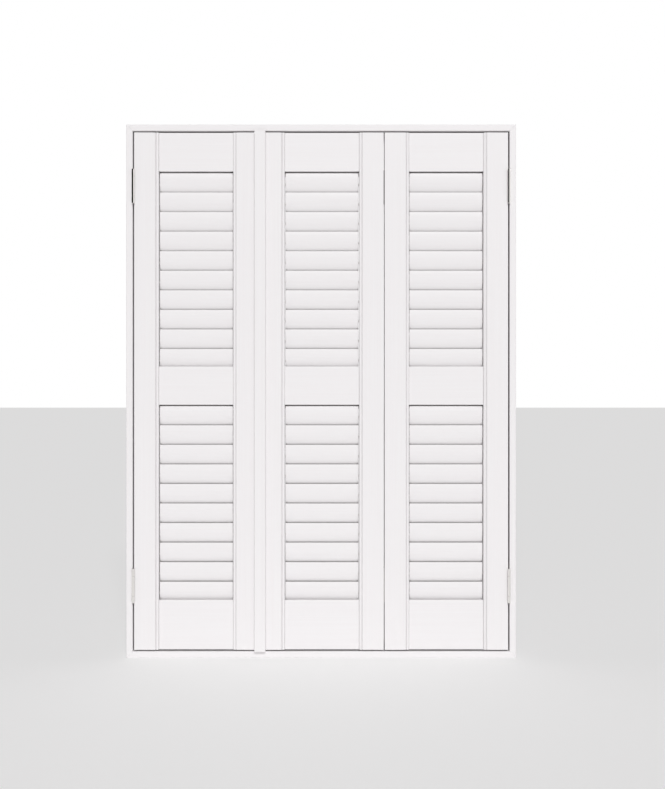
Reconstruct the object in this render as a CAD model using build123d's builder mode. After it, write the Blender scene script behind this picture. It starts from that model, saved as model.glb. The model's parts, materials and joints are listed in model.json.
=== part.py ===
"""Louvred window shutter in its own frame.

Three panels fill an L-section frame. The left panel opens by itself and carries the strip that
covers the meeting gap. The centre and right panels fold together: the right one is hinged to the
frame, and the centre one to the right one, with its knuckles at the back. Each panel has two banks
of louvres that turn on end pins, linked by a flat tilt bar behind them.

Lengths are in millimetres and angles in degrees. X runs to the right, Y from the room to the
window and Z up. The origin is the centre of the frame's underside.
"""

import os
from math import cos, radians, sin

from build123d import *

os.makedirs("parts", exist_ok=True)

# Frame, an L-section with mitred corners
frame_width = 780.0
frame_height = 1067.0
frame_depth = 45.0
frame_face = 13.0  # width of the plain face seen from the room
stop_reach = 15.0  # how far the light stop reaches behind the panels
stop_gap = 2.5  # between the panels' backs and the light stop
frame_edge_bevel = 1.0

# Fixing holes through the side members
fixing_count = 3
fixing_spacing = 400.0
fixing_radius = 2.5
fixing_inset = 12.0  # from the frame's front face

# Panels
edge_gap = 3.0  # between the frame and the panels, all round
meeting_gap = 5.2  # between the left and centre panels, under the strip
fold_gap = 1.8  # between the centre and right panels
panel_thickness = 27.0

# Stiles, with a bead beside the louvres
stile_width = 49.0
bead_radius = 2.8
quirk_width = 1.3  # fine groove between the stile's flat and its bead
quirk_depth = 2.0

# Rails, set back from the stiles' faces
rail_thickness = 20.0
top_rail_height = 77.2
mid_rail_height = 76.7
bottom_rail_height = 99.3
tenon_length = 14.0
tenon_thickness = 9.0
tenon_shoulder = 14.0  # cut off the rail's height above and below the tenon
tenon_clearance = 0.1
upper_lip_depth = 8.5  # lip behind the top louvre, measured front to back
upper_lip_drop = 8.0
lower_lip_depth = 3.5  # lip in front of the bottom louvre, measured front to back
lower_lip_rise = 22.0

# Louvres
louvre_count = 10  # in each bank
louvre_overlap = 7.7  # how much longer the chord is than the spacing of the axes
louvre_thickness = 9.0
louvre_edge = 2.4  # thickness of the blunt edges
louvre_end_gap = 1.2
louvre_closed_angle = 10.0  # from the vertical, top edge towards the room
louvre_top_gap = 1.8  # between the rail above and the first louvre when shut
louvre_bottom_lap = 10.8  # how far the last louvre hangs behind the lip when shut

# Hidden pins have flats, because there are so many of them, and turn inside the flats of their holes
pin_sides = 6
louvre_pin_radius = 2.2
louvre_pin_length = 8.0
socket_clearance = 0.06
socket_end_clearance = 1.0

# Tilt bars and the lugs that join the louvres to them
lug_thickness = 2.5
lug_inset = 12.0  # from the louvre's end
lug_root_inset = 5.5  # from the louvre's lower edge up its chord
lug_root_width = 5.0
lug_tip_radius = 1.8
link_past_edge = 5.5  # from the louvre's lower edge along its chord to the link's axis
link_offset = 3.4  # from the louvre's chord to the link's axis
bar_width = 4.0
bar_thickness = 2.5
bar_end = 4.0  # past the outermost links
bar_side_gap = 0.2

# Strip over the meeting gap
strip_width = 22.0
strip_thickness = 10.0
strip_overlap = 6.0  # on the left panel's stile
strip_overrun = 1.6  # past the panel at each end
strip_shadow_gap = 0.4  # between the strip and the centre panel
strip_edge_radius = 1.5

# Hinges, the same for the frame and for the fold
hinge_length = 68.0
end_knuckle = 14.0
knuckle_gap = 0.3
barrel_radius = 3.0
barrel_standoff = 0.3  # between a knuckle and the faces beside it
hinge_pin_radius = 1.5
hinge_pin_clearance = 0.06
leaf_thickness = 2.0
leaf_width = 19.7
leaf_gap = 0.2  # between the two leaves when the hinge is closed
leaf_barrel_gap = 0.3  # between a leaf and the other leaf's knuckle
top_hinge_drop = 108.0  # from the panel's top to the hinge's middle
bottom_hinge_rise = 128.5  # from the panel's bottom to the hinge's middle

# Places that follow from the sizes
front_y = -frame_depth / 2
back_y = front_y + panel_thickness
axis_y = front_y + panel_thickness / 2
panel_bottom = frame_face + edge_gap
panel_top = frame_height - frame_face - edge_gap
panel_height = panel_top - panel_bottom
inner_width = frame_width - 2 * (frame_face + edge_gap)
panel_width = (inner_width - meeting_gap - fold_gap) / 3
opening_width = panel_width - 2 * stile_width
left_panel_x = -inner_width / 2
centre_panel_x = left_panel_x + panel_width + meeting_gap
right_panel_x = centre_panel_x + panel_width + fold_gap
bank_height = (panel_height - top_rail_height - mid_rail_height - bottom_rail_height) / 2
top_rail_bottom = panel_top - top_rail_height
mid_rail_top = top_rail_bottom - bank_height
mid_rail_bottom = mid_rail_top - mid_rail_height
bottom_rail_top = mid_rail_bottom - bank_height
louvre_length = opening_width - 2 * louvre_end_gap

# The axes are spaced so that one bank of shut louvres just fills the height between its rails
upright_share = cos(radians(louvre_closed_angle))
covered_height = bank_height - louvre_top_gap + louvre_bottom_lap - louvre_overlap * upright_share
louvre_pitch = covered_height / (louvre_count - 1 + upright_share)
louvre_chord = louvre_pitch + louvre_overlap
first_louvre_drop = louvre_top_gap + louvre_chord / 2 * upright_share
lug_root = louvre_chord / 2 - lug_root_inset
link_reach = louvre_chord / 2 + link_past_edge

# Sockets, hinges and their places
socket_depth = louvre_pin_length - louvre_end_gap + socket_end_clearance
hinge_levels = (panel_bottom + bottom_hinge_rise, panel_top - top_hinge_drop)
frame_pin_x = inner_width / 2 + edge_gap / 2
frame_pin_y = front_y - barrel_radius - barrel_standoff
fold_pin_x = right_panel_x - fold_gap / 2
fold_pin_y = back_y + barrel_radius + barrel_standoff
leaf_start = barrel_radius + leaf_barrel_gap
closed_leaves = 2 * leaf_thickness + leaf_gap

print("panel width", round(panel_width, 2), "louvre pitch", round(louvre_pitch, 3))
print("mid rail", round(mid_rail_top, 2), round(mid_rail_bottom, 2), "bottom rail", round(bottom_rail_top, 2))


def write(piece, label):
    piece.part.label = label
    export_step(piece.part, f"parts/{label}.step")


def hole_around(radius, clearance):
    """Radius to the corners of a hole whose flats clear a turning pin of the radius given."""
    return (radius + clearance) / cos(radians(180 / pin_sides))


def side_plane(x, side):
    """A vertical plane facing along X, whose local X is Y times side and whose local Y is Z."""
    return Plane(origin=(x, 0, 0), x_dir=(0, side, 0), z_dir=(side, 0, 0))


def cut_leaf_pockets(x, side, reach, barrel_y, gap):
    """Pockets for the hinge leaves in an edge at x that faces side."""
    middle = barrel_y + reach * (leaf_start + leaf_width / 2)
    with BuildSketch(side_plane(x, side)) as section:
        with Locations(*[(side * middle, level) for level in hinge_levels]):
            Rectangle(leaf_width + 2 * leaf_barrel_gap, hinge_length)
    extrude(section.sketch, amount=-(closed_leaves - gap) / 2, mode=Mode.SUBTRACT)


def frame_member(plane, length):
    """An L-section along the plane's normal, its outer face on the plane's Y axis, mitred at both ends."""
    stop_front = panel_thickness + stop_gap
    inner = frame_face + stop_reach
    with BuildSketch(plane) as section:
        with BuildLine():
            Polyline(
                (0, 0),
                (frame_face, 0),
                (frame_face, stop_front),
                (inner, stop_front),
                (inner, frame_depth),
                (0, frame_depth),
                close=True,
            )
        make_face()
        chamfer(section.vertices().sort_by(Axis.Y)[:2], frame_edge_bevel)
    extrude(section.sketch, amount=length)
    far_end = plane.origin + plane.z_dir * length
    split(bisect_by=Plane(origin=plane.origin, z_dir=plane.z_dir - plane.x_dir), keep=Keep.TOP)
    split(bisect_by=Plane(origin=far_end, z_dir=-plane.z_dir - plane.x_dir), keep=Keep.TOP)


def side_member_holes(side):
    """Fixing holes and hinge pockets in the side member at side, cut from the opening."""
    inner_x = side * (frame_width / 2 - frame_face)
    with Locations(side_plane(inner_x, -side)):
        with Locations((-side * (front_y + fixing_inset), frame_height / 2)):
            with GridLocations(1, fixing_spacing, 1, fixing_count):
                Hole(fixing_radius, depth=frame_face)
    cut_leaf_pockets(inner_x, -side, 1, frame_pin_y, edge_gap)


# Frame members
half_width = frame_width / 2

with BuildPart() as frame_left:
    frame_member(Plane(origin=(-half_width, front_y, 0), x_dir=(1, 0, 0), z_dir=(0, 0, 1)), frame_height)
    side_member_holes(-1)
write(frame_left, "frame_left_member")

with BuildPart() as frame_right:
    frame_member(
        Plane(origin=(half_width, front_y, frame_height), x_dir=(-1, 0, 0), z_dir=(0, 0, -1)), frame_height
    )
    side_member_holes(1)
write(frame_right, "frame_right_member")

with BuildPart() as frame_bottom:
    frame_member(Plane(origin=(half_width, front_y, 0), x_dir=(0, 0, 1), z_dir=(-1, 0, 0)), frame_width)
write(frame_bottom, "frame_bottom_member")

with BuildPart() as frame_top:
    frame_member(
        Plane(origin=(-half_width, front_y, frame_height), x_dir=(0, 0, -1), z_dir=(1, 0, 0)), frame_width
    )
write(frame_top, "frame_top_member")


# Panels: name of the panel, its left edge
panel_edges = {"left": left_panel_x, "centre": centre_panel_x, "right": right_panel_x}

# Rails: name of the rail, its bottom and top, lip behind the louvre below, lip before the louvre above
rails = {
    "top": (top_rail_bottom, panel_top, True, False),
    "mid": (mid_rail_bottom, mid_rail_top, True, True),
    "bottom": (panel_bottom, bottom_rail_top, False, True),
}

# Banks of louvres: name of the bank, height of its first axis
banks = {
    "upper": top_rail_bottom - first_louvre_drop,
    "lower": mid_rail_bottom - first_louvre_drop,
}

# How far each louvre of both banks lies below the topmost one
louvre_drops = [
    banks["upper"] - first_axis + index * louvre_pitch
    for first_axis in banks.values()
    for index in range(louvre_count)
]


def tenon_span(bottom, top, stands):
    """Bottom and top of a rail's tenon, which stays below the ledge behind a standing lip."""
    return bottom + tenon_shoulder, top - tenon_shoulder - (lower_lip_rise if stands else 0)


def stile(edge_x, side, with_sockets):
    """A stile whose outer edge is at edge_x and whose bead faces side, with its joinery."""
    start = panel_bottom if side > 0 else panel_top
    plane = Plane(origin=(edge_x, front_y, start), x_dir=(side, 0, 0), z_dir=(0, 0, side))
    bead_left = stile_width - bead_radius - (bead_radius**2 - (bead_radius - quirk_depth) ** 2) ** 0.5
    with BuildSketch(plane) as section:
        with BuildLine():
            Polyline(
                (stile_width, panel_thickness),
                (0, panel_thickness),
                (0, 0),
                (bead_left - quirk_width, 0),
                (bead_left - quirk_width, quirk_depth),
                (bead_left, quirk_depth),
            )
            ThreePointArc(
                (bead_left, quirk_depth), (stile_width - bead_radius, 0), (stile_width, bead_radius)
            )
            Line((stile_width, bead_radius), (stile_width, panel_thickness))
        make_face()
    extrude(section.sketch, amount=panel_height)
    inner_x = edge_x + side * stile_width
    with BuildSketch(side_plane(inner_x, side)) as section:
        for bottom, top, hangs, stands in rails.values():
            low, high = tenon_span(bottom, top, stands)
            with Locations((side * axis_y, (low + high) / 2)):
                Rectangle(tenon_thickness + 2 * tenon_clearance, high - low + 2 * tenon_clearance)
    extrude(section.sketch, amount=-(tenon_length + tenon_clearance), mode=Mode.SUBTRACT)
    if with_sockets:
        with BuildSketch(side_plane(inner_x, side)) as section:
            with Locations(*[(side * axis_y, banks["upper"] - drop) for drop in louvre_drops]):
                RegularPolygon(hole_around(louvre_pin_radius, socket_clearance), pin_sides)
        extrude(section.sketch, amount=-socket_depth, mode=Mode.SUBTRACT)


def rail(left_x, bottom, top, hangs, stands):
    """A rail between the stiles of the panel at left_x, with its lips and tenons."""
    rail_front = axis_y - rail_thickness / 2
    rail_back = axis_y + rail_thickness / 2
    start = left_x + stile_width
    with BuildSketch(Plane.YZ.offset(start)) as section:
        with Locations((axis_y, (bottom + top) / 2)):
            Rectangle(rail_thickness, top - bottom)
        if hangs:
            with Locations((rail_back, bottom)):
                Rectangle(upper_lip_depth, upper_lip_drop, align=(Align.MAX, Align.MAX))
        if stands:
            with Locations((rail_front + lower_lip_depth, top)):
                Rectangle(
                    rail_thickness - lower_lip_depth,
                    lower_lip_rise,
                    align=(Align.MIN, Align.MAX),
                    mode=Mode.SUBTRACT,
                )
    extrude(section.sketch, amount=opening_width)
    low, high = tenon_span(bottom, top, stands)
    with BuildSketch(Plane.YZ.offset(start - tenon_length)) as section:
        with Locations((axis_y, (low + high) / 2)):
            Rectangle(tenon_thickness, high - low)
    extrude(section.sketch, amount=opening_width + 2 * tenon_length)


# Stiles and rails
for panel, left_x in panel_edges.items():
    right_x = left_x + panel_width

    with BuildPart() as left_stile:
        stile(left_x, 1, panel == "left")
        if panel == "left":
            cut_leaf_pockets(left_x, -1, 1, frame_pin_y, edge_gap)
        if panel == "right":
            cut_leaf_pockets(left_x, -1, -1, fold_pin_y, fold_gap)
    write(left_stile, f"{panel}_panel_left_stile")

    with BuildPart() as right_stile:
        stile(right_x, -1, panel == "left")
        if panel == "right":
            cut_leaf_pockets(right_x, 1, 1, frame_pin_y, edge_gap)
        if panel == "centre":
            cut_leaf_pockets(right_x, 1, -1, fold_pin_y, fold_gap)
    write(right_stile, f"{panel}_panel_right_stile")

    for name, (bottom, top, hangs, stands) in rails.items():
        with BuildPart() as panel_rail:
            rail(left_x, bottom, top, hangs, stands)
        write(panel_rail, f"{panel}_panel_{name}_rail")


def louvre(left_x, axis_z, pin_length):
    """A closed louvre in the panel at left_x, with its end pins and the lug for the tilt bar."""
    start = left_x + stile_width + louvre_end_gap
    tilt = radians(louvre_closed_angle)
    plane = Plane(origin=(start, axis_y, axis_z), x_dir=(0, sin(tilt), -cos(tilt)), z_dir=(1, 0, 0))
    half_chord = louvre_chord / 2
    with BuildSketch(plane) as section:
        with BuildLine():
            ThreePointArc(
                (-half_chord, louvre_edge / 2), (0, louvre_thickness / 2), (half_chord, louvre_edge / 2)
            )
            Line((half_chord, louvre_edge / 2), (half_chord, -louvre_edge / 2))
            ThreePointArc(
                (half_chord, -louvre_edge / 2), (0, -louvre_thickness / 2), (-half_chord, -louvre_edge / 2)
            )
            Line((-half_chord, -louvre_edge / 2), (-half_chord, louvre_edge / 2))
        make_face()
    extrude(section.sketch, amount=louvre_length)
    with BuildSketch(plane) as section:
        RegularPolygon(louvre_pin_radius, pin_sides)
    extrude(section.sketch, amount=-pin_length)
    with BuildSketch(plane.offset(louvre_length)) as section:
        RegularPolygon(louvre_pin_radius, pin_sides)
    extrude(section.sketch, amount=pin_length)
    with BuildSketch(plane.offset(lug_inset)) as section:
        with BuildLine():
            Polyline(
                (lug_root, 0),
                (lug_root + lug_root_width, 0),
                (link_reach + lug_tip_radius, link_offset - lug_tip_radius / 2),
                (link_reach + lug_tip_radius / 2, link_offset + lug_tip_radius),
                (link_reach - lug_tip_radius, link_offset + lug_tip_radius / 2),
                close=True,
            )
        make_face()
    extrude(section.sketch, amount=lug_thickness)


def tilt_bar(left_x, first_axis):
    """The flat bar beside one bank's lugs, upright behind the louvres."""
    tilt = radians(louvre_closed_angle)
    link_y = axis_y + link_reach * sin(tilt) + link_offset * cos(tilt)
    first_link = first_axis - link_reach * cos(tilt) + link_offset * sin(tilt)
    last_link = first_link - (louvre_count - 1) * louvre_pitch
    bar_x = left_x + stile_width + louvre_end_gap + lug_inset + lug_thickness + bar_side_gap
    with BuildSketch(Plane.XY.offset(last_link - bar_end)) as section:
        with Locations((bar_x + bar_thickness / 2, link_y)):
            Rectangle(bar_thickness, bar_width)
    extrude(section.sketch, amount=first_link - last_link + 2 * bar_end)


# Left panel: each louvre and each tilt bar by itself, because they move
for bank, first_axis in banks.items():
    for index in range(louvre_count):
        with BuildPart() as moving_louvre:
            louvre(left_panel_x, first_axis - index * louvre_pitch, louvre_pin_length)
        write(moving_louvre, f"left_panel_{bank}_louvre_{index + 1:02d}")
    with BuildPart() as moving_bar:
        tilt_bar(left_panel_x, first_axis)
    write(moving_bar, f"left_panel_{bank}_tilt_bar")

# Centre and right panels: one group of louvres each, shut, with pins that stop at the stiles' faces
for panel in ("centre", "right"):
    with BuildPart() as top_louvre:
        louvre(panel_edges[panel], banks["upper"], louvre_end_gap)
    with BuildPart() as louvre_group:
        with Locations(*[(0, 0, -drop) for drop in louvre_drops]):
            add(top_louvre.part)
    write(louvre_group, f"{panel}_panel_louvres")
    with BuildPart() as bar_pair:
        for first_axis in banks.values():
            tilt_bar(panel_edges[panel], first_axis)
    write(bar_pair, f"{panel}_panel_tilt_bars")


# Strip on the left panel's stile
with BuildPart() as strip:
    with BuildSketch(Plane.XY.offset(panel_bottom - strip_overrun)) as strip_section:
        with Locations((left_panel_x + panel_width - strip_overlap, front_y)):
            Rectangle(strip_width, strip_thickness, align=(Align.MIN, Align.MAX))
        fillet(strip_section.vertices().sort_by(Axis.Y)[:2], strip_edge_radius)
        with Locations((left_panel_x + panel_width, front_y)):
            Rectangle(strip_width, strip_shadow_gap, align=(Align.MIN, Align.MAX), mode=Mode.SUBTRACT)
    extrude(strip_section.sketch, amount=panel_height + 2 * strip_overrun)
write(strip, "meeting_strip")


def knuckle_spans(ends):
    """Bottom and top of one leaf's knuckles, from the hinge's middle: the two ends, or the middle."""
    half = hinge_length / 2
    inner = half - end_knuckle
    if ends:
        return [(-half, -inner), (inner, half)]
    return [(-inner + knuckle_gap, inner - knuckle_gap)]


def hinge_leaf(side, reach, ends):
    """A leaf about its pin at the origin, on the X side given, reaching along Y, with its knuckles."""
    leaf_x = side * (leaf_gap + leaf_thickness) / 2
    with BuildSketch(Plane.XY.offset(-hinge_length / 2)) as section:
        with Locations((leaf_x, reach * (leaf_start + leaf_width / 2))):
            Rectangle(leaf_thickness, leaf_width)
    extrude(section.sketch, amount=hinge_length)
    for low, high in knuckle_spans(ends):
        with BuildSketch(Plane.XY.offset(low)) as section:
            Circle(barrel_radius)
            with Locations((leaf_x, reach * leaf_start / 2)):
                Rectangle(leaf_thickness, leaf_start)
            RegularPolygon(hole_around(hinge_pin_radius, hinge_pin_clearance), pin_sides, mode=Mode.SUBTRACT)
        extrude(section.sketch, amount=high - low)


def hinge_pin():
    """A plain pin through all three knuckles, centred on the origin."""
    with BuildSketch(Plane.XY.offset(-hinge_length / 2)) as section:
        RegularPolygon(hinge_pin_radius, pin_sides)
    extrude(section.sketch, amount=hinge_length)


def hinge_sites(x, y):
    """Both hinges on one upright line."""
    return [(x, y, level) for level in hinge_levels]


with BuildPart() as front_right_leaf:
    hinge_leaf(1, 1, True)
with BuildPart() as front_left_leaf:
    hinge_leaf(-1, 1, True)
with BuildPart() as front_right_middle:
    hinge_leaf(1, 1, False)
with BuildPart() as front_left_middle:
    hinge_leaf(-1, 1, False)
with BuildPart() as back_right_leaf:
    hinge_leaf(1, -1, True)
with BuildPart() as back_left_middle:
    hinge_leaf(-1, -1, False)
with BuildPart() as one_pin:
    hinge_pin()

# Leaves on the frame hold the middle knuckles, and leaves on the panels hold the end knuckles and the pin
with BuildPart() as frame_leaves:
    with Locations(*hinge_sites(-frame_pin_x, frame_pin_y)):
        add(front_left_middle.part)
    with Locations(*hinge_sites(frame_pin_x, frame_pin_y)):
        add(front_right_middle.part)
write(frame_leaves, "frame_hinge_leaves")

with BuildPart() as left_panel_leaves:
    with Locations(*hinge_sites(-frame_pin_x, frame_pin_y)):
        add(front_right_leaf.part)
write(left_panel_leaves, "left_panel_hinge_leaves")

with BuildPart() as left_panel_pins:
    with Locations(*hinge_sites(-frame_pin_x, frame_pin_y)):
        add(one_pin.part)
write(left_panel_pins, "left_panel_hinge_pins")

with BuildPart() as right_panel_leaves:
    with Locations(*hinge_sites(frame_pin_x, frame_pin_y)):
        add(front_left_leaf.part)
write(right_panel_leaves, "right_panel_hinge_leaves")

with BuildPart() as right_panel_pins:
    with Locations(*hinge_sites(frame_pin_x, frame_pin_y)):
        add(one_pin.part)
write(right_panel_pins, "right_panel_hinge_pins")

with BuildPart() as fold_right_leaves:
    with Locations(*hinge_sites(fold_pin_x, fold_pin_y)):
        add(back_right_leaf.part)
write(fold_right_leaves, "right_panel_fold_leaves")

with BuildPart() as fold_pins:
    with Locations(*hinge_sites(fold_pin_x, fold_pin_y)):
        add(one_pin.part)
write(fold_pins, "right_panel_fold_pins")

with BuildPart() as fold_centre_leaves:
    with Locations(*hinge_sites(fold_pin_x, fold_pin_y)):
        add(back_left_middle.part)
write(fold_centre_leaves, "centre_panel_fold_leaves")
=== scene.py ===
"""Louvred window shutter: the finish of every part, and the parts that are finer than the CAD model.

Metres throughout. X runs to the right, Y from the room to the window and Z up, with the origin at
the centre of the frame's underside.
"""

import json
from math import pi, radians

import bmesh
import bpy
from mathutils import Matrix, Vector


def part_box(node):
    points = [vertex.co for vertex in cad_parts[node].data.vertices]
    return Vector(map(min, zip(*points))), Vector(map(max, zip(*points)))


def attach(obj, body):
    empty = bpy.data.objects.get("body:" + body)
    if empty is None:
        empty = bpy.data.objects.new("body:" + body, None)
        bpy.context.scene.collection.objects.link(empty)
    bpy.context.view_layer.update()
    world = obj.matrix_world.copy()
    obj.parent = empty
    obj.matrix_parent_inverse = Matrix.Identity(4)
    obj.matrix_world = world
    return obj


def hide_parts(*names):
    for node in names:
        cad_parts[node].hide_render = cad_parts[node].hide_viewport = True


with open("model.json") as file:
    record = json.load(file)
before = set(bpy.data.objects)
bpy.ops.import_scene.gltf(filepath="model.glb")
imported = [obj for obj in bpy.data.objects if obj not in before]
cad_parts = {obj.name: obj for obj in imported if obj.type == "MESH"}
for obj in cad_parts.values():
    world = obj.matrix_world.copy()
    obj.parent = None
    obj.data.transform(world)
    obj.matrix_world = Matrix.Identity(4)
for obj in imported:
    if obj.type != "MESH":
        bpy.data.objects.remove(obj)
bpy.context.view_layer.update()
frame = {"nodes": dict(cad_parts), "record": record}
nodes = frame["nodes"]
mm = 0.001

# Louvres, sized as in the CAD model
louvre_count = 10
louvre_spacing = 39.2914 * mm
louvre_overlap = 7.7 * mm
louvre_chord = louvre_spacing + louvre_overlap
louvre_thickness = 9.0 * mm
louvre_edge = 2.4 * mm
face_arc_points = 14
edge_arc_points = 7
louvre_length = 146.6 * mm
louvre_closed_angle = radians(10.0)
pin_radius = 2.2 * mm
hidden_pin_length = 8.0 * mm
flush_pin_length = 1.2 * mm

# Lugs, links and tilt bars
lug_thickness = 2.5 * mm
lug_inset = 12.0 * mm
lug_root = 18.0 * mm
lug_root_width = 5.0 * mm
lug_foot_depth = 1.0 * mm
lug_foot_offset = 0.3 * mm
lug_tip_radius = 1.9 * mm
link_past_edge = 5.5 * mm
link_reach = louvre_chord / 2 + link_past_edge
link_offset = 3.4 * mm
bar_thickness = 2.5 * mm
bar_side_gap = 0.2 * mm
rivet_radius = 1.0 * mm
rivet_head_radius = 1.7 * mm
rivet_head_height = 0.6 * mm

# Hinges
hinge_length = 68.0 * mm
barrel_radius = 3.0 * mm
hinge_pin_radius = 1.5 * mm
pin_head_radius = 2.1 * mm
pin_head_height = 0.9 * mm
pin_sides = 32
leaf_thickness = 2.0 * mm
leaf_width = 19.7 * mm
leaf_gap = 0.2 * mm
leaf_start = barrel_radius + 0.3 * mm

# Hinge screws
screw_head_radius = 3.3 * mm
screw_shank_radius = 1.6 * mm
screw_head_depth = 1.5 * mm
screw_recess_radius = 1.9 * mm
screw_recess_depth = 0.9 * mm
screw_slot_width = 0.9 * mm
screw_gap = 0.12 * mm
screw_sides = 24
screw_spacing = 23.0 * mm
screw_stagger = 3.0 * mm
screw_steps = ((-1, 1), (0, -1), (1, 1))

# How far the hard edges are eased
frame_easing = 0.6 * mm
panel_easing = 0.5 * mm
strip_easing = 0.3 * mm
bar_easing = 0.4 * mm
leaf_easing = 0.8 * mm
easing_steps = 2
hard_edge = radians(40)

# Vertices closer than this become one, and faces flatter than this one face
weld_distance = 0.001 * mm
blade_weld_distance = 0.01 * mm
flat_enough = radians(0.5)


def srgb(code):
    """The linear colour of an sRGB hex code."""
    channels = [int(code[start : start + 2], 16) / 255 for start in (1, 3, 5)]
    linear = [c / 12.92 if c <= 0.04045 else ((c + 0.055) / 1.055) ** 2.4 for c in channels]
    return (*linear, 1.0)


def add(tree, kind, inputs=None, **settings):
    """A new node with its settings, its inputs filled with values or joined to other nodes' outputs."""
    node = tree.nodes.new(kind)
    for name, value in settings.items():
        setattr(node, name, value)
    for socket, value in (inputs or {}).items():
        if isinstance(value, bpy.types.NodeSocket):
            tree.links.new(value, node.inputs[socket])
        else:
            node.inputs[socket].default_value = value
    return node


# The places of a Mix node's sockets that share a name
first_number, second_number = 2, 3
first_colour, second_colour = 6, 7


def new_material(name):
    """An empty node material and its tree."""
    material = bpy.data.materials.new(name)
    material.use_nodes = True
    material.node_tree.nodes.clear()
    return material, material.node_tree


def painted_timber(name, along, painted_shade_strength):
    """Satin water-based paint, sprayed and laid off with a fine brush on a sanded timber board that runs
    along the axis given. The eye gets a soft even sheen, with faint brush marks along the board and a
    trace of filled grain close up. The marks are drawn about three times as wide as real bristle marks,
    which would be too fine to show. Painted shade: the colour turns dark grey where two boards or louvres
    come within a few millimetres of each other, which draws a thin shadow line along each louvre."""
    brush_mark, brush_stroke = 2.8 * mm, 260 * mm
    grain_line, grain_length = 0.9 * mm, 60 * mm
    orange_peel, sheen_patch = 1.6 * mm, 120 * mm
    grain_depth, mark_depth, peel_depth = 0.012 * mm, 0.022 * mm, 0.012 * mm
    # How far the painted crevice shade reaches, and the ambient occlusion levels at which it is full and
    # gone
    painted_shade_reach = 7.0 * mm
    fully_shaded_below, unshaded_above = 0.12, 0.68
    material, tree = new_material(name)
    coords = add(tree, "ShaderNodeTexCoord").outputs["Object"]

    def streaks(width, length, detail):
        """Noise drawn out along the board."""
        scale = [1 / width] * 3
        scale[along] = 1 / length
        lengthwise = add(tree, "ShaderNodeMapping", {"Vector": coords, "Scale": scale}).outputs[0]
        drawn_out = {"Vector": lengthwise, "Scale": 1.0, "Detail": detail}
        return add(tree, "ShaderNodeTexNoise", drawn_out).outputs[0]

    marks = streaks(brush_mark, brush_stroke, 4.0)
    grain = streaks(grain_line, grain_length, 2.0)
    peel = add(
        tree, "ShaderNodeTexNoise", {"Vector": coords, "Scale": 1 / orange_peel, "Detail": 2.0}
    ).outputs[0]
    patches = add(tree, "ShaderNodeTexNoise", {"Vector": coords, "Scale": 1 / sheen_patch}).outputs[0]
    thickness = add(
        tree, "ShaderNodeMapRange", {"Value": marks, "From Min": 0.25, "From Max": 0.75}
    ).outputs[0]
    colour = add(
        tree,
        "ShaderNodeMix",
        {"Factor": thickness, first_colour: srgb("#F2F0F1"), second_colour: srgb("#F0EDEE")},
        data_type="RGBA",
    ).outputs[2]
    # Painted shade: where ambient occlusion finds another surface close by, the colour is darkened towards
    # dark grey
    if painted_shade_strength:
        openness = add(
            tree, "ShaderNodeAmbientOcclusion", {"Distance": painted_shade_reach}, samples=8
        ).outputs["AO"]
        painted_shade = add(
            tree,
            "ShaderNodeMapRange",
            {
                "Value": openness,
                "From Min": fully_shaded_below,
                "From Max": unshaded_above,
                "To Min": painted_shade_strength,
                "To Max": 0.0,
            },
        ).outputs[0]
        colour = add(
            tree,
            "ShaderNodeMix",
            {"Factor": painted_shade, first_colour: colour, second_colour: srgb("#77726F")},
            data_type="RGBA",
        ).outputs[2]
    roughness = add(
        tree, "ShaderNodeMapRange", {"Value": patches, "To Min": 0.38, "To Max": 0.52}
    ).outputs[0]
    relief = None
    for height, depth in ((grain, grain_depth), (marks, mark_depth), (peel, peel_depth)):
        layer = {"Height": height, "Strength": 0.6, "Distance": depth}
        if relief:
            layer["Normal"] = relief
        relief = add(tree, "ShaderNodeBump", layer).outputs["Normal"]
    paint = add(
        tree,
        "ShaderNodeBsdfPrincipled",
        {"Base Color": colour, "Roughness": roughness, "Normal": relief, "IOR": 1.5},
    )
    add(tree, "ShaderNodeOutputMaterial", {"Surface": paint.outputs[0]})
    return material


def speckled_finish(name, colour, metallic, roughness, grit, depth):
    """A moulded, coated or plated surface: bumps of one grit size and depth, and a sheen as uneven as
    they are."""
    material, tree = new_material(name)
    coords = add(tree, "ShaderNodeTexCoord").outputs["Object"]
    speckle = add(
        tree, "ShaderNodeTexNoise", {"Vector": coords, "Scale": 1 / grit, "Detail": 3.0}
    ).outputs["Fac"]
    sheen = add(
        tree,
        "ShaderNodeMapRange",
        {"Value": speckle, "To Min": roughness * 0.75, "To Max": roughness * 1.35},
    ).outputs["Result"]
    relief = add(
        tree, "ShaderNodeBump", {"Height": speckle, "Strength": 0.3, "Distance": depth}
    ).outputs["Normal"]
    shader = add(
        tree,
        "ShaderNodeBsdfPrincipled",
        {"Base Color": srgb(colour), "Metallic": metallic, "Roughness": sheen, "Normal": relief},
    )
    add(tree, "ShaderNodeOutputMaterial", {"Surface": shader.outputs["BSDF"]})
    return material


# Painted shade in the crevices: full on the louvres and rails, less on the stiles, none on the frame and the
# strip
upright_paint = painted_timber("satin_paint_on_upright_timber", 2, 0.45)
level_paint = painted_timber("satin_paint_on_level_timber", 0, 1.0)
frame_upright_paint = painted_timber("satin_paint_on_upright_frame_timber", 2, 0.0)
frame_level_paint = painted_timber("satin_paint_on_level_frame_timber", 0, 0.0)
# Bright nickel plate, buffed: a near mirror, so the eye gets hard dark and white streaks down a barrel,
# very slightly broken by the buffing
polished_nickel = speckled_finish("polished_nickel_plate", "#ECEAE7", 1.0, 0.07, 4.0 * mm, 0.004 * mm)
# Powder coat on the aluminium bars: an even satin with a fine orange peel
powder_coat = speckled_finish("white_powder_coat", "#ECEBE9", 0.0, 0.5, 0.8 * mm, 0.03 * mm)
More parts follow.
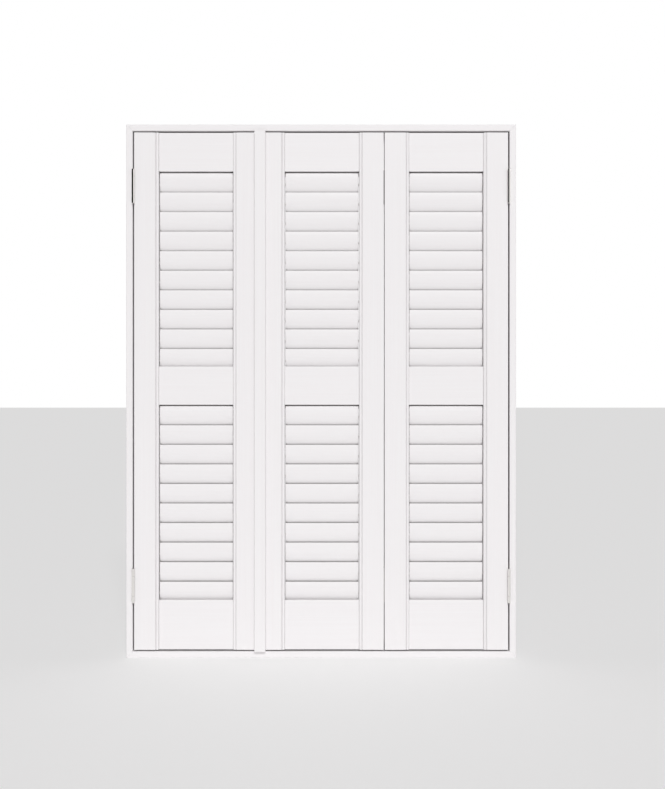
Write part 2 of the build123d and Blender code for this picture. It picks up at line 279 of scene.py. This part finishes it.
# Moulded nylon pins and lugs: a little warmer than the paint, with the waxy sheen of the mould
white_nylon = speckled_finish("moulded_white_nylon", "#EBE9E4", 0.0, 0.45, 1.2 * mm, 0.02 * mm)
# Zinc plate on the rivets: cool grey, with a fine crystalline sparkle
rivet_steel = speckled_finish("zinc_plated_rivet_steel", "#C9CACB", 1.0, 0.3, 0.5 * mm, 0.02 * mm)
# Nickel plate on the screws, barrel finished: softer and darker than the leaves
screw_steel = speckled_finish("nickel_plated_screw_steel", "#CFCCC5", 1.0, 0.22, 0.6 * mm, 0.02 * mm)


def body_of_node(node):
    """The name of the body that a CAD node rides on."""
    return next(name for name, members in frame["record"]["behaviour"]["bodies"].items() if node in members)


def cut_with(piece, cutter):
    """Cuts the cutter's shape out of the piece."""
    cut = piece.modifiers.new("cut", "BOOLEAN")
    cut.operation = "DIFFERENCE"
    cut.solver = "EXACT"
    cut.object = cutter


def made_plain(piece):
    """Turns a piece with modifiers into the plain mesh that they make."""
    graph = bpy.context.evaluated_depsgraph_get()
    mesh = bpy.data.meshes.new_from_object(piece.evaluated_get(graph), depsgraph=graph)
    mesh.name = piece.name
    piece.modifiers.clear()
    piece.data = mesh
    return piece


def eased_copy(node, material, width, cutter=None):
    """A merged copy of a CAD node with its hard edges eased, and with the cutter's holes in it, which
    stands for the node."""
    mesh = nodes[node].data.copy()
    mesh.name = f"{node}_eased"
    shape = bmesh.new()
    shape.from_mesh(mesh)
    bmesh.ops.remove_doubles(shape, verts=shape.verts, dist=weld_distance)
    bmesh.ops.dissolve_limit(shape, angle_limit=flat_enough, verts=shape.verts, edges=shape.edges)
    for face in shape.faces:
        face.smooth = True
        face.material_index = 0
    shape.to_mesh(mesh)
    shape.free()
    mesh.materials.clear()
    mesh.materials.append(material)
    piece = bpy.data.objects.new(f"{node}_eased", mesh)
    bpy.context.scene.collection.objects.link(piece)
    easing = piece.modifiers.new("easing", "BEVEL")
    easing.width = width
    easing.segments = easing_steps
    easing.limit_method = "ANGLE"
    easing.angle_limit = hard_edge
    if cutter:
        cut_with(piece, cutter)
        made_plain(piece)
    piece.modifiers.new("flat_faces", "WEIGHTED_NORMAL").weight = 100
    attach(piece, body_of_node(node))
    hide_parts(node)
    return piece


def joined_mesh(first, second):
    """One mesh from two objects' meshes; the second object goes."""
    shape = bmesh.new()
    shape.from_mesh(first.data)
    shape.from_mesh(second.data)
    mesh = first.data.copy()
    shape.to_mesh(mesh)
    shape.free()
    bpy.data.objects.remove(second)
    return mesh


def turned(name, profile, sides, material):
    """A closed mesh turned about Z from (radius, height) points that start and end on the axis."""
    shape = bmesh.new()
    line = [shape.verts.new((radius, 0.0, height)) for radius, height in profile]
    edges = [shape.edges.new(pair) for pair in zip(line, line[1:])]
    bmesh.ops.spin(
        shape, geom=line + edges, cent=(0, 0, 0), axis=(0, 0, 1), angle=2 * pi, steps=sides, use_merge=True
    )
    bmesh.ops.remove_doubles(shape, verts=shape.verts, dist=weld_distance)
    bmesh.ops.recalc_face_normals(shape, faces=shape.faces)
    mesh = bpy.data.meshes.new(name)
    shape.to_mesh(mesh)
    shape.free()
    mesh.materials.append(material)
    return mesh


def cross_recess():
    """The block that cuts a screw's cross recess: four arms about Z, from the recess's floor upwards."""
    half_slot, reach = screw_slot_width / 2, screw_recess_radius
    arm = [(half_slot, half_slot), (half_slot, reach), (-half_slot, reach)]
    quarter_turns = ((1, 0), (0, 1), (-1, 0), (0, -1))
    outline = [(x * c - y * s, x * s + y * c) for c, s in quarter_turns for x, y in arm]
    shape = bmesh.new()
    floor_face = shape.faces.new([shape.verts.new((x, y, -screw_recess_depth)) for x, y in outline])
    raised = bmesh.ops.extrude_face_region(shape, geom=[floor_face])
    lifted = [item for item in raised["geom"] if isinstance(item, bmesh.types.BMVert)]
    bmesh.ops.translate(shape, verts=lifted, vec=(0, 0, 2 * screw_recess_depth))
    bmesh.ops.recalc_face_normals(shape, faces=shape.faces)
    mesh = bpy.data.meshes.new("screw_recess")
    shape.to_mesh(mesh)
    shape.free()
    return mesh


def screw_mesh(material):
    """A countersunk screw head that faces +Z, its rim at height 0, with a cross recess cut into it."""
    profile = [
        (0.0, -screw_head_depth),
        (screw_shank_radius, -screw_head_depth),
        (screw_head_radius, 0.0),
        (0.0, 0.0),
    ]
    meshes = turned("screw_head", profile, screw_sides, material), cross_recess()
    head, recess = (bpy.data.objects.new(mesh.name, mesh) for mesh in meshes)
    for part in (head, recess):
        bpy.context.scene.collection.objects.link(part)
    cut_with(head, recess)
    mesh = made_plain(head).data
    for part in (head, recess):
        bpy.data.objects.remove(part)
    return mesh


def countersink_mesh(material):
    """What is cut from a leaf for a screw that faces +Z: the head's cone and the shank's hole, each wider
    than the screw by the gap."""
    hole_radius = screw_shank_radius + screw_gap
    rim_radius = screw_head_radius + screw_gap
    profile = [
        (0.0, -2 * leaf_thickness),
        (hole_radius, -2 * leaf_thickness),
        (hole_radius, -screw_head_depth - screw_gap),
        (rim_radius, 0.0),
        (rim_radius, leaf_thickness),
        (0.0, leaf_thickness),
    ]
    return turned("countersink", profile, screw_sides, material)


def hinge_pin_mesh(material):
    """An upright hinge pin with a low dome over each end of the barrel."""
    half_length = hinge_length / 2
    dome = [
        (hinge_pin_radius, 0.0),
        (pin_head_radius, 0.0),
        (0.95 * pin_head_radius, 0.4 * pin_head_height),
        (0.6 * pin_head_radius, 0.85 * pin_head_height),
        (0.0, pin_head_height),
    ]
    profile = [(radius, -half_length - height) for radius, height in reversed(dome)]
    profile += [(radius, half_length + height) for radius, height in dome]
    return turned("pin", profile, pin_sides, material)


def new_geometry_tree(name, sockets):
    """A geometry tree for a modifier, with an input for each (name, kind, default)."""
    tree = bpy.data.node_groups.new(name, "GeometryNodeTree")
    tree.is_modifier = True
    for socket_name, kind, default in sockets:
        socket = tree.interface.new_socket(socket_name, in_out="INPUT", socket_type=kind)
        if default is not None:
            socket.default_value = default
    tree.interface.new_socket("Geometry", in_out="OUTPUT", socket_type="NodeSocketGeometry")
    return tree


def part_on_points_tree():
    """Geometry nodes that set one part on every given point, faced one way and spun at random."""
    sockets = [
        ("Geometry", "NodeSocketGeometry", None),
        ("Part", "NodeSocketObject", None),
        ("Facing", "NodeSocketRotation", None),
        ("Spin", "NodeSocketFloat", None),
        ("Seed", "NodeSocketInt", None),
        ("Finish", "NodeSocketMaterial", None),
    ]
    tree = new_geometry_tree("parts_on_points", sockets)
    given = add(tree, "NodeGroupInput").outputs
    part = add(tree, "GeometryNodeObjectInfo", {"Object": given["Part"]}).outputs["Geometry"]
    least, most = 2, 3
    spin = add(
        tree,
        "FunctionNodeRandomValue",
        {least: 0.0, most: given["Spin"], "Seed": given["Seed"]},
        data_type="FLOAT",
    ).outputs[1]
    spun = add(
        tree, "FunctionNodeAxisAngleToRotation", {"Axis": (0.0, 0.0, 1.0), "Angle": spin}
    ).outputs[0]
    facing = add(
        tree,
        "FunctionNodeRotateRotation",
        {"Rotation": given["Facing"], "Rotate By": spun},
        rotation_space="LOCAL",
    ).outputs[0]
    placed = add(
        tree,
        "GeometryNodeInstanceOnPoints",
        {"Points": given["Geometry"], "Instance": part, "Rotation": facing},
    ).outputs[0]
    real = add(tree, "GeometryNodeRealizeInstances", {"Geometry": placed}).outputs[0]
    made = add(
        tree, "GeometryNodeSetMaterial", {"Geometry": real, "Material": given["Finish"]}
    ).outputs[0]
    add(tree, "NodeGroupOutput", {"Geometry": made})
    return tree


def grown(name, tree, points=(), **values):
    """A plain mesh object made by a geometry tree from the points and the values of its named inputs."""
    start = bpy.data.meshes.new(name)
    start.from_pydata(points, [], [])
    maker = bpy.data.objects.new(name, start)
    bpy.context.scene.collection.objects.link(maker)
    modifier = maker.modifiers.new("maker", "NODES")
    modifier.node_group = tree
    sockets = {item.name: item.identifier for item in tree.interface.items_tree if item.in_out == "INPUT"}
    for key, value in values.items():
        modifier[sockets[key.replace("_", " ")]] = value
    return made_plain(maker)


def shade(piece, angle=radians(35)):
    """Smooth shading that breaks at edges sharper than the angle."""
    for face in piece.data.polygons:
        face.use_smooth = True
    piece.data.set_sharp_from_angle(angle=angle)
    return piece


# Hinge leaves with countersunk screws: for each leaf the pins it turns on, the side of the pins it is
# on, and which way it reaches from them
leaf_places = {
    "frame_hinge_leaves": [("left_panel_hinge_pins", -1, 1), ("right_panel_hinge_pins", 1, 1)],
    "left_panel_hinge_leaves": [("left_panel_hinge_pins", 1, 1)],
    "right_panel_hinge_leaves": [("right_panel_hinge_pins", -1, 1)],
    "right_panel_fold_leaves": [("right_panel_fold_pins", 1, -1)],
    "centre_panel_fold_leaves": [("right_panel_fold_pins", -1, -1)],
}
low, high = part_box("left_panel_hinge_pins")
hinge_levels = [low.z + hinge_length / 2, high.z - hinge_length / 2]
part_on_points = part_on_points_tree()
screw = bpy.data.objects.new("screw", screw_mesh(screw_steel))
countersink = bpy.data.objects.new("countersink", countersink_mesh(polished_nickel))
for node, leaves in leaf_places.items():
    screws, holes = [], []
    for pins, side, reach in leaves:
        low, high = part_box(pins)
        pin_x, pin_y = (low.x + high.x) / 2, (low.y + high.y) / 2
        seat_x = pin_x + side * leaf_gap / 2
        middle_y = pin_y + reach * (leaf_start + leaf_width / 2)
        points = [
            (seat_x, middle_y + across * screw_stagger, level + up * screw_spacing)
            for level in hinge_levels
            for up, across in screw_steps
        ]
        facing = Vector((-side, 0, 0)).to_track_quat("Z", "Y").to_euler()
        for group, name, part, finish in (
            (screws, "screws", screw, screw_steel),
            (holes, "holes", countersink, polished_nickel),
        ):
            piece_name = f"{node}_{name}_{len(group)}"
            values = {"Part": part, "Finish": finish, "Facing": facing, "Spin": pi / 2, "Seed": 7}
            group.append(grown(piece_name, part_on_points, points, **values))
    for group in (screws, holes):
        while len(group) > 1:
            group[0].data = joined_mesh(group[0], group.pop())
    eased_copy(node, polished_nickel, leaf_easing, holes[0])
    bpy.data.objects.remove(holes[0])
    piece = shade(screws[0])
    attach(piece, body_of_node(node))


# Frame members, stiles, rails, strip and tilt bars
for name in nodes:
    if "louvre" in name or "pins" in name or name in leaf_places:
        continue
    if "tilt_bar" in name:
        eased_copy(name, powder_coat, bar_easing)
    elif name.startswith("frame"):
        is_level = "top" in name or "bottom" in name
        eased_copy(name, frame_level_paint if is_level else frame_upright_paint, frame_easing)
    elif name == "meeting_strip":
        eased_copy(name, frame_upright_paint, strip_easing)
    else:
        eased_copy(name, level_paint if "rail" in name else upright_paint, panel_easing)


# Hinge pins
domed_pin = bpy.data.objects.new("pin", hinge_pin_mesh(polished_nickel))
for node in ("left_panel_hinge_pins", "right_panel_hinge_pins", "right_panel_fold_pins"):
    low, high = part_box(node)
    points = [((low.x + high.x) / 2, (low.y + high.y) / 2, level) for level in hinge_levels]
    piece = grown(f"{node}_domed", part_on_points, points, Part=domed_pin, Finish=polished_nickel, Seed=1)
    shade(piece)
    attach(piece, body_of_node(node))
    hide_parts(node)


def louvre_blade(tree, halves):
    """A lens with two gently curved faces and two round edges, swept along X."""
    start = add(tree, "ShaderNodeCombineXYZ", {"X": halves["Length", -1]}).outputs[0]
    end = add(tree, "ShaderNodeCombineXYZ", {"X": halves["Length", 1]}).outputs[0]
    path = add(tree, "GeometryNodeCurvePrimitiveLine", {"Start": start, "End": end}).outputs["Curve"]
    corners = {}
    for side in (1, -1):
        face_end = add(
            tree, "ShaderNodeMath", {0: halves["Chord", side], 1: halves["Edge", -side]}, operation="ADD"
        ).outputs[0]
        for face in (1, -1):
            corners[side, face] = add(
                tree, "ShaderNodeCombineXYZ", {"X": halves["Edge", face], "Y": face_end}
            ).outputs[0]
    outline = add(tree, "GeometryNodeJoinGeometry")
    for side in (1, -1):
        crown = add(tree, "ShaderNodeCombineXYZ", {"X": halves["Thickness", side]}).outputs[0]
        tip = add(tree, "ShaderNodeCombineXYZ", {"Y": halves["Chord", side]}).outputs[0]
        arcs = (
            (corners[-1, side], crown, corners[1, side], face_arc_points),
            (corners[side, 1], tip, corners[side, -1], edge_arc_points),
        )
        for first, middle, last, count in arcs:
            arc = add(
                tree,
                "GeometryNodeCurveArc",
                {"Resolution": count, "Start": first, "Middle": middle, "End": last},
                mode="POINTS",
            ).outputs["Curve"]
            tree.links.new(arc, outline.inputs[0])

    # The points of the four arcs, put in order round the middle, make one closed line
    points = add(
        tree, "GeometryNodeCurveToPoints", {"Curve": outline.outputs[0]}, mode="EVALUATED"
    ).outputs["Points"]
    position = add(tree, "GeometryNodeInputPosition").outputs[0]
    place = add(tree, "ShaderNodeSeparateXYZ", {"Vector": position}).outputs
    round_angle = add(tree, "ShaderNodeMath", {0: place["Y"], 1: place["X"]}, operation="ARCTAN2").outputs[0]
    line = add(tree, "GeometryNodePointsToCurves", {"Points": points, "Weight": round_angle}).outputs[0]
    section = add(tree, "GeometryNodeSetSplineCyclic", {"Geometry": line, "Cyclic": True}).outputs[0]
    swept = add(
        tree, "GeometryNodeCurveToMesh", {"Curve": path, "Profile Curve": section, "Fill Caps": True}
    ).outputs["Mesh"]
    return add(
        tree, "GeometryNodeMergeByDistance", {"Geometry": swept, "Distance": blade_weld_distance}
    ).outputs[0]


def louvre_pins(tree, half_length, pin_length):
    """The pins in both ends of the blade."""
    pin = add(
        tree, "GeometryNodeMeshCylinder", {"Vertices": 12, "Radius": pin_radius, "Depth": pin_length}
    ).outputs["Mesh"]
    half_pin = add(tree, "ShaderNodeMath", {0: pin_length, 1: 0.5}, operation="MULTIPLY").outputs[0]
    right = add(tree, "ShaderNodeMath", {0: half_length, 1: half_pin}, operation="ADD").outputs[0]
    left = add(tree, "ShaderNodeMath", {0: right, 1: -1.0}, operation="MULTIPLY").outputs[0]
    pins = []
    for middle in (right, left):
        place = add(tree, "ShaderNodeCombineXYZ", {"X": middle}).outputs[0]
        laid = {"Geometry": pin, "Translation": place, "Rotation": (0.0, pi / 2, 0.0)}
        pins.append(add(tree, "GeometryNodeTransform", laid).outputs[0])
    return pins


def louvre_lug(tree, left_end):
    """The hull of a foot in the blade's lower edge and a round tip at the link."""
    middle = add(
        tree, "ShaderNodeMath", {0: left_end, 1: lug_inset + lug_thickness / 2}, operation="ADD"
    ).outputs[0]
    tip_place = add(
        tree, "ShaderNodeCombineXYZ", {"X": middle, "Y": link_offset, "Z": -link_reach}
    ).outputs[0]
    foot_place = add(
        tree,
        "ShaderNodeCombineXYZ",
        {"X": middle, "Y": lug_foot_offset, "Z": -lug_root - lug_root_width / 2},
    ).outputs[0]
    disc = add(
        tree, "GeometryNodeMeshCylinder", {"Vertices": 16, "Radius": lug_tip_radius, "Depth": lug_thickness}
    ).outputs["Mesh"]
    tip = add(
        tree,
        "GeometryNodeTransform",
        {"Geometry": disc, "Translation": tip_place, "Rotation": (0.0, pi / 2, 0.0)},
    ).outputs[0]
    block = add(
        tree, "GeometryNodeMeshCube", {"Size": (lug_thickness, lug_foot_depth, lug_root_width)}
    ).outputs["Mesh"]
    foot = add(tree, "GeometryNodeTransform", {"Geometry": block, "Translation": foot_place}).outputs[0]
    both = add(tree, "GeometryNodeJoinGeometry")
    for part in (tip, foot):
        tree.links.new(part, both.inputs[0])
    return add(tree, "GeometryNodeConvexHull", {"Geometry": both.outputs[0]}).outputs[0]


def louvre_rivet(tree, left_end):
    """A shank through the lug and the tilt bar, with a domed head on each side."""
    shank_length = lug_thickness + bar_side_gap + bar_thickness
    middle = add(
        tree, "ShaderNodeMath", {0: left_end, 1: lug_inset + shank_length / 2}, operation="ADD"
    ).outputs[0]
    place = add(
        tree, "ShaderNodeCombineXYZ", {"X": middle, "Y": link_offset, "Z": -link_reach}
    ).outputs[0]
    shank = add(
        tree, "GeometryNodeMeshCylinder", {"Vertices": 12, "Radius": rivet_radius, "Depth": shank_length}
    ).outputs["Mesh"]
    ball = add(
        tree, "GeometryNodeMeshUVSphere", {"Segments": 14, "Rings": 6, "Radius": rivet_head_radius}
    ).outputs["Mesh"]
    flattening = (1.0, 1.0, rivet_head_height / rivet_head_radius)
    head = add(tree, "GeometryNodeTransform", {"Geometry": ball, "Scale": flattening}).outputs[0]
    parts = add(tree, "GeometryNodeJoinGeometry")
    tree.links.new(shank, parts.inputs[0])
    for side in (-1, 1):
        moved = add(
            tree,
            "GeometryNodeTransform",
            {"Geometry": head, "Translation": (0.0, 0.0, side * shank_length / 2)},
        ).outputs[0]
        tree.links.new(moved, parts.inputs[0])
    return add(
        tree,
        "GeometryNodeTransform",
        {"Geometry": parts.outputs[0], "Translation": place, "Rotation": (0.0, pi / 2, 0.0)},
    ).outputs[0]


def marked_parts(tree, parts_by_finish):
    """All parts in one, each face marked with the place of its finish in the list."""
    whole = add(tree, "GeometryNodeJoinGeometry")
    for kind, parts in enumerate(parts_by_finish):
        joined = add(tree, "GeometryNodeJoinGeometry")
        for part in parts:
            tree.links.new(part, joined.inputs[0])
        marked = add(
            tree,
            "GeometryNodeStoreNamedAttribute",
            {"Geometry": joined.outputs[0], "Name": "made_of", "Value": kind},
            data_type="INT",
            domain="FACE",
        ).outputs[0]
        tree.links.new(marked, whole.inputs[0])
    return whole.outputs[0]


def line_downwards(tree, count, spacing, start=None):
    """Points one above another, the first on top."""
    drop = add(tree, "ShaderNodeMath", {0: spacing, 1: -1.0}, operation="MULTIPLY").outputs[0]
    inputs = {"Count": count, "Offset": add(tree, "ShaderNodeCombineXYZ", {"Z": drop}).outputs[0]}
    if start:
        inputs["Start Location"] = start
    return add(tree, "GeometryNodeMeshLine", inputs).outputs[0]


def louvre_tree():
    """Geometry nodes for louvres in banks: swept blades, end pins, lugs and link rivets."""
    sockets = [
        ("Banks", "NodeSocketInt", 1),
        ("Bank Step", "NodeSocketFloat", 0.0),
        ("Louvres", "NodeSocketInt", 1),
        ("Spacing", "NodeSocketFloat", louvre_spacing),
        ("First Axis", "NodeSocketVector", (0.0, 0.0, 0.0)),
        ("Length", "NodeSocketFloat", louvre_length),
        ("Chord", "NodeSocketFloat", louvre_chord),
        ("Thickness", "NodeSocketFloat", louvre_thickness),
        ("Edge", "NodeSocketFloat", louvre_edge),
        ("Closed Angle", "NodeSocketFloat", louvre_closed_angle),
        ("Pin Length", "NodeSocketFloat", hidden_pin_length),
        ("Paint", "NodeSocketMaterial", None),
        ("Moulding", "NodeSocketMaterial", None),
        ("Rivet Metal", "NodeSocketMaterial", None),
    ]
    tree = new_geometry_tree("louvre_banks", sockets)
    given = add(tree, "NodeGroupInput").outputs

    # Half sizes along the length, the chord and the thickness, with their opposites
    halves = {}
    for name in ("Length", "Chord", "Thickness", "Edge"):
        for sign in (1, -1):
            halves[name, sign] = add(
                tree, "ShaderNodeMath", {0: given[name], 1: sign * 0.5}, operation="MULTIPLY"
            ).outputs[0]

    blade = louvre_blade(tree, halves)
    pins = louvre_pins(tree, halves["Length", 1], given["Pin Length"])
    lug = louvre_lug(tree, halves["Length", -1])
    rivet = louvre_rivet(tree, halves["Length", -1])
    louvre = marked_parts(tree, ([blade], [*pins, lug], [rivet]))
    lean = add(tree, "ShaderNodeCombineXYZ", {"X": given["Closed Angle"]}).outputs[0]
    leaning = add(tree, "GeometryNodeTransform", {"Geometry": louvre, "Rotation": lean}).outputs[0]

    # One point for each louvre of a bank, and one for the first axis of each bank
    louvre_line = line_downwards(tree, given["Louvres"], given["Spacing"])
    bank_line = line_downwards(tree, given["Banks"], given["Bank Step"], given["First Axis"])
    bank = {"Points": louvre_line, "Instance": leaning}
    one_bank = add(tree, "GeometryNodeInstanceOnPoints", bank).outputs[0]
    banks = {"Points": bank_line, "Instance": one_bank}
    all_banks = add(tree, "GeometryNodeInstanceOnPoints", banks).outputs[0]
    made = add(tree, "GeometryNodeRealizeInstances", {"Geometry": all_banks}).outputs[0]
    made_of = add(
        tree, "GeometryNodeInputNamedAttribute", {"Name": "made_of"}, data_type="INT"
    ).outputs[0]
    first_whole, second_whole = 2, 3
    for kind, finish in enumerate(("Paint", "Moulding", "Rivet Metal")):
        chosen = add(
            tree,
            "FunctionNodeCompare",
            {first_whole: made_of, second_whole: kind},
            data_type="INT",
            operation="EQUAL",
        ).outputs[0]
        made = add(
            tree,
            "GeometryNodeSetMaterial",
            {"Geometry": made, "Selection": chosen, "Material": given[finish]},
        ).outputs[0]
    add(tree, "NodeGroupOutput", {"Geometry": made})
    return tree


# Louvres of the left panel, each on a body of its own
joint_places = {joint["name"]: Vector(joint["pos_m"]) for joint in frame["record"]["behaviour"]["joints"]}
banks = louvre_tree()
finishes = {"Paint": level_paint, "Moulding": white_nylon, "Rivet_Metal": rivet_steel}
for bank in ("upper", "lower"):
    for index in range(1, louvre_count + 1):
        body = f"{bank}_louvre_{index:02d}"
        piece = grown(f"left_{body}", banks, First_Axis=joint_places[f"{body}_tilt"], **finishes)
        shade(piece)
        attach(piece, body)
        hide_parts(f"left_panel_{body}")

# Louvres of the two folding panels, all on their panel's body
top_axis = joint_places["upper_louvre_01_tilt"]
bank_step = top_axis.z - joint_places["lower_louvre_01_tilt"].z
for panel in ("centre", "right"):
    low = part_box(f"{panel}_panel_left_stile")[1].x
    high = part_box(f"{panel}_panel_right_stile")[0].x
    piece = grown(
        f"{panel}_louvres",
        banks,
        First_Axis=Vector(((low + high) / 2, top_axis.y, top_axis.z)),
        Banks=2,
        Bank_Step=bank_step,
        Louvres=louvre_count,
        Pin_Length=flush_pin_length,
        **finishes,
    )
    shade(piece)
    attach(piece, f"{panel}_panel")
    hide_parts(f"{panel}_panel_louvres")


def stage_sheet(name, corners, material):
    """A flat sheet that isn't part of the object."""
    mesh = bpy.data.meshes.new(name)
    mesh.from_pydata(corners, [], [(0, 1, 2, 3)])
    mesh.materials.append(material)
    sheet = bpy.data.objects.new(name, mesh)
    bpy.context.scene.collection.objects.link(sheet)
    return sheet


# Floor that keeps the object's shadow. Its even glow is the bounce of a large studio floor, which lights
# the undersides of the louvres, and the camera sees a little less of it so that the floor doesn't clip
floor_reach = 40.0
floor_bounce = 0.44
floor_bounce_seen = 0.34
floor_finish, tree = new_material("pale_studio_floor")
pale = add(tree, "ShaderNodeBsdfDiffuse", {"Color": srgb("#CCCBCB")}).outputs[0]
seen = add(tree, "ShaderNodeLightPath").outputs["Is Camera Ray"]
bounce = add(
    tree, "ShaderNodeMix", {"Factor": seen, first_number: floor_bounce, second_number: floor_bounce_seen}
).outputs[0]
glow = add(tree, "ShaderNodeEmission", {"Color": srgb("#FFFFFF"), "Strength": bounce}).outputs[0]
lifted = add(tree, "ShaderNodeAddShader", {0: pale, 1: glow}).outputs[0]
add(tree, "ShaderNodeOutputMaterial", {"Surface": lifted})
floor_corners = [(x * floor_reach, y * floor_reach, 0.0) for x, y in ((-1, -1), (1, -1), (1, 1), (-1, 1))]
stage_sheet("floor", floor_corners, floor_finish)

# Black card, from behind the camera to the left of the room and seen by gloss alone, so that the
# polished barrels of the upper hinges have something dark to mirror
card_bottom = 0.9
card_near, card_near_top = (1.2, -3.6), 2.6
card_far, card_far_top = (-9.0, 3.0), 4.4
card_finish, tree = new_material("black_card")
felt = add(tree, "ShaderNodeBsdfDiffuse", {"Color": srgb("#080808")}).outputs[0]
add(tree, "ShaderNodeOutputMaterial", {"Surface": felt})
card_corners = [
    (*card_near, card_bottom),
    (*card_far, card_bottom),
    (*card_far, card_far_top),
    (*card_near, card_near_top),
]
card = stage_sheet("black_card", card_corners, card_finish)
card.visible_camera = False
card.visible_diffuse = False
card.visible_shadow = False

# World: even fill light, and white where the camera or a gloss looks past the object
fill_strength = 0.33
world = bpy.data.worlds.new("studio")
bpy.context.scene.world = world
world.use_nodes = True
world.node_tree.nodes.clear()
tree = world.node_tree
rays = add(tree, "ShaderNodeLightPath").outputs
seen = add(
    tree, "ShaderNodeMath", {0: rays["Is Camera Ray"], 1: rays["Is Glossy Ray"]}, operation="MAXIMUM"
).outputs[0]
strength = add(
    tree, "ShaderNodeMix", {"Factor": seen, first_number: fill_strength, second_number: 1.0}
).outputs[0]
sky = add(tree, "ShaderNodeBackground", {"Color": srgb("#FFFFFF"), "Strength": strength}).outputs[0]
add(tree, "ShaderNodeOutputWorld", {"Surface": sky})

# A far, large studio lamp before the object, so even that it's a sun lamp with a wide disc
key_height = radians(36)
key_side = radians(6)
key = bpy.data.lights.new("key_lamp", "SUN")
key.angle = radians(14)
key.energy = 1.58
key_holder = bpy.data.objects.new("key_lamp", key)
key_holder.rotation_euler = (pi / 2 - key_height, 0.0, key_side)
bpy.context.scene.collection.objects.link(key_holder)

# Camera, square to the frame, placed to match the photograph. The focal length is the one that fits
# best, in pixels of that picture
focal_pixels = 1050
picture_height_pixels = 789
sensor_width = 36
camera_data = bpy.data.cameras.new("camera")
camera_data.lens = focal_pixels * sensor_width / picture_height_pixels
camera_data.sensor_width = sensor_width
camera = bpy.data.objects.new("camera", camera_data)
camera.location = (0.0228, -2.1225, 0.5268)
camera.rotation_euler = (pi / 2, 0.0, 0.0)
bpy.context.scene.collection.objects.link(camera)
bpy.context.scene.camera = camera

bpy.context.scene.view_settings.view_transform = "Standard"
